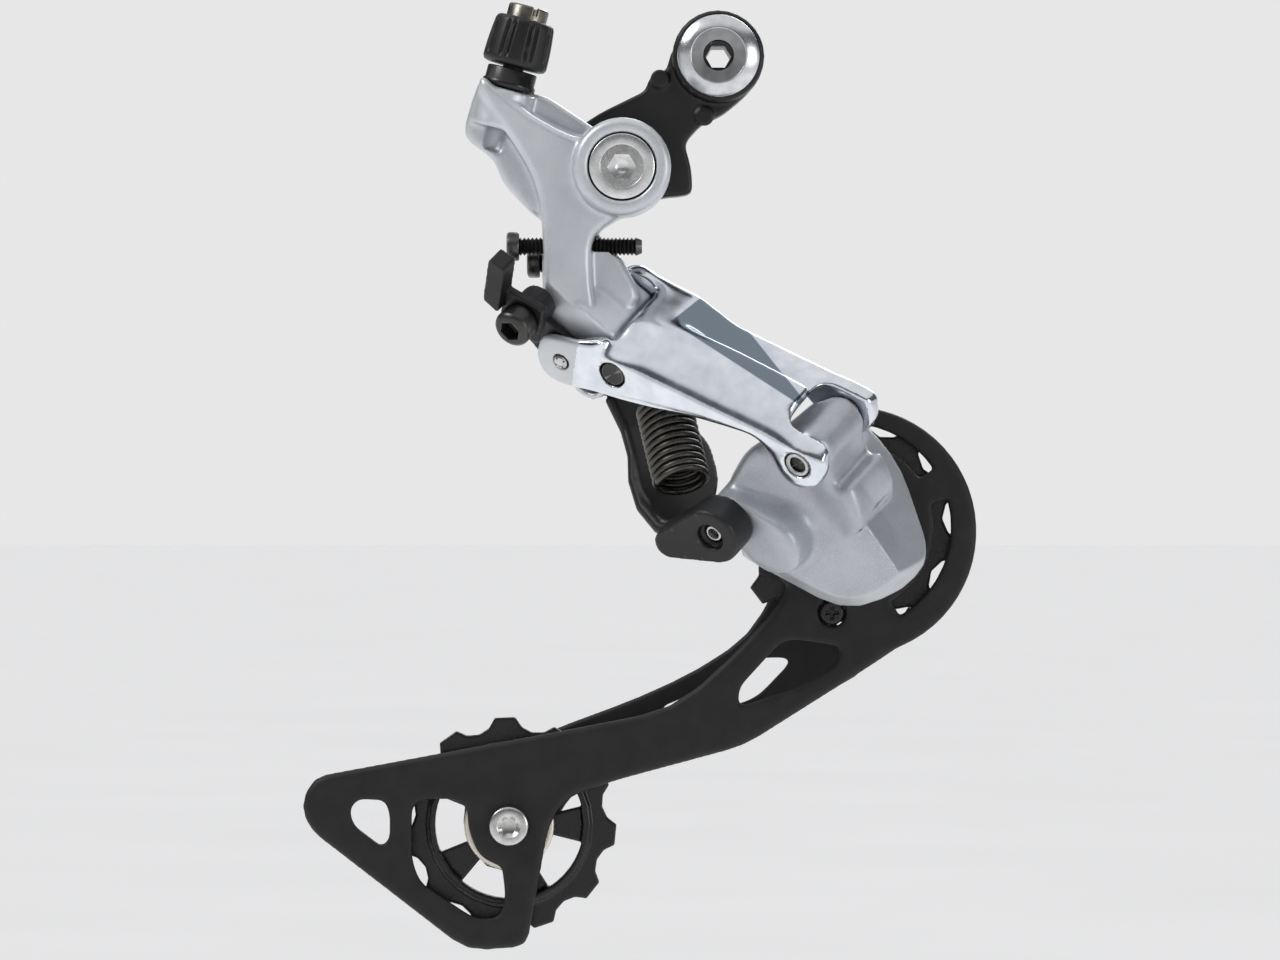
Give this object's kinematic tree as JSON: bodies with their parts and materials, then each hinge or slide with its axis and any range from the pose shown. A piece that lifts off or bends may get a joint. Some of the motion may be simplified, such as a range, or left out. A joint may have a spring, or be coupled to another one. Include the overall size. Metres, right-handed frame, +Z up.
{
  "type": "rear bicycle derailleur",
  "caption": "Rear bicycle derailleur: slanted four-pin parallelogram on a pivoting hanger link, with a barrel adjuster, sprung cage and two toothed guide wheels.",
  "frame": {"origin": "on the hanger bolt axis, in the face of the mounting link that meets the frame hanger", "axes": "+X to the front of the bicycle, +Y inboard towards the wheel, along the hanger bolt, +Z up"},
  "size_m": [0.1374, 0.0593, 0.1919],
  "materials": {
    "silver_casting": "satin",
    "grey_casting": "satin",
    "polished_alloy": "polished",
    "black_alloy": "satin",
    "steel": "satin",
    "dark_steel": "satin",
    "polymer": "semi_gloss",
    "bushing": "matte"
  },
  "bodies": {
    "b_link": {"b_link_plate": "black_alloy", "b_axle": "steel"},
    "hanger_bolt": {"hanger_bolt": "steel", "bolt_retaining_clip": "steel"},
    "b_knuckle": {"b_knuckle": "silver_casting", "b_bush": "bushing", "b_seal_ring": "polymer", "link_pin_a": "dark_steel", "link_pin_c": "dark_steel", "barrel_collar": "dark_steel"},
    "b_tension_screw": {"b_tension_screw": "black_alloy"},
    "high_limit_screw": {"high_limit_screw": "black_alloy"},
    "low_limit_screw": {"low_limit_screw": "black_alloy"},
    "barrel": {"barrel_adjuster": "polymer", "barrel_ferrule": "dark_steel"},
    "outer_link": {"outer_link": "polished_alloy", "cable_arm": "black_alloy", "cable_arm_pin": "steel", "cable_clamp_plate": "black_alloy"},
    "clamp_bolt": {"cable_clamp_bolt": "dark_steel"},
    "inner_link": {"inner_link": "black_alloy", "return_spring": "dark_steel"},
    "p_knuckle": {"p_knuckle": "grey_casting", "link_pin_b": "dark_steel", "link_pin_d": "steel", "p_bush": "bushing", "p_spring": "dark_steel", "p_seal_ring": "polymer"},
    "cage": {"p_axle": "steel", "cage_outer_plate": "black_alloy", "cage_inner_plate": "black_alloy", "cage_stop_screw": "dark_steel", "guide_pulley_bolt": "steel", "tension_pulley_bolt": "steel", "guide_sleeve": "bushing", "tension_sleeve": "bushing", "guide_cap_outer": "steel", "guide_cap_inner": "steel", "tension_cap_outer": "steel", "tension_cap_inner": "steel"},
    "guide_pulley": {"guide_pulley": "polymer"},
    "tension_pulley": {"tension_pulley": "polymer"}
  },
  "joints": [
    {"name": "hanger_bolt_turn", "type": "hinge", "parent": "b_link", "child": "hanger_bolt", "pos_m": [0, 0, 0], "axis": [0, 1, 0], "continuous": true},
    {"name": "b_pivot", "type": "hinge", "parent": "b_link", "child": "b_knuckle", "pos_m": [-0.0194, -0.015, -0.0229], "axis": [0, 1, 0], "range_deg": [-8, 20]},
    {"name": "b_tension_screw_turn", "type": "hinge", "parent": "b_knuckle", "child": "b_tension_screw", "pos_m": [-0.03, -0.014, -0.0386], "axis": [1, 0, 0], "continuous": true},
    {"name": "high_limit_screw_turn", "type": "hinge", "parent": "b_knuckle", "child": "high_limit_screw", "pos_m": [-0.032, -0.008, -0.0416], "axis": [1, 0, 0], "continuous": true},
    {"name": "low_limit_screw_turn", "type": "hinge", "parent": "b_knuckle", "child": "low_limit_screw", "pos_m": [-0.032, -0.001, -0.0416], "axis": [1, 0, 0], "continuous": true},
    {"name": "barrel_turn", "type": "hinge", "parent": "b_knuckle", "child": "barrel", "pos_m": [-0.0426, -0.014, -0.0077], "axis": [0.258, 0, 0.9661], "continuous": true},
    {"name": "outer_link_pivot", "type": "hinge", "parent": "b_knuckle", "child": "outer_link", "pos_m": [-0.01544, -0.01297, -0.05806], "axis": [0.5051, 0.6691, 0.5451], "range_deg": [0, 60], "stiffness_Nm_per_rad": 0.4, "springref_deg": -28.65},
    {"name": "inner_link_pivot", "type": "hinge", "parent": "b_knuckle", "child": "inner_link", "pos_m": [-0.02283, 0.00696, -0.06191], "axis": [0.5051, 0.6691, 0.5451], "range_deg": [0, 60], "deforming": ["return_spring"]},
    {"name": "p_knuckle_pivot", "type": "hinge", "parent": "outer_link", "child": "p_knuckle", "pos_m": [0.02124, -0.0259, -0.07618], "axis": [0.5051, 0.6691, 0.5451], "range_deg": [-60, 0]},
    {"name": "clamp_bolt_turn", "type": "hinge", "parent": "outer_link", "child": "clamp_bolt", "pos_m": [-0.03743, -0.01985, -0.05125], "axis": [-0.5051, -0.6691, -0.5451], "continuous": true},
    {"name": "cage_pivot", "type": "hinge", "parent": "p_knuckle", "child": "cage", "pos_m": [0.0266, 0, -0.095], "axis": [0, -1, 0], "range_deg": [0, 105], "stiffness_Nm_per_rad": 0.35, "springref_deg": -51.57},
    {"name": "guide_pulley_spin", "type": "hinge", "parent": "cage", "child": "guide_pulley", "pos_m": [0.0266, 0.012, -0.095], "axis": [0, 1, 0], "continuous": true},
    {"name": "tension_pulley_spin", "type": "hinge", "parent": "cage", "child": "tension_pulley", "pos_m": [-0.0425, 0.012, -0.1559], "axis": [0, 1, 0], "continuous": true}
  ],
  "couplings": [
    {"joint": "inner_link_pivot", "follows": "outer_link_pivot", "ratio": 1},
    {"joint": "p_knuckle_pivot", "follows": "outer_link_pivot", "ratio": -1}
  ]
}
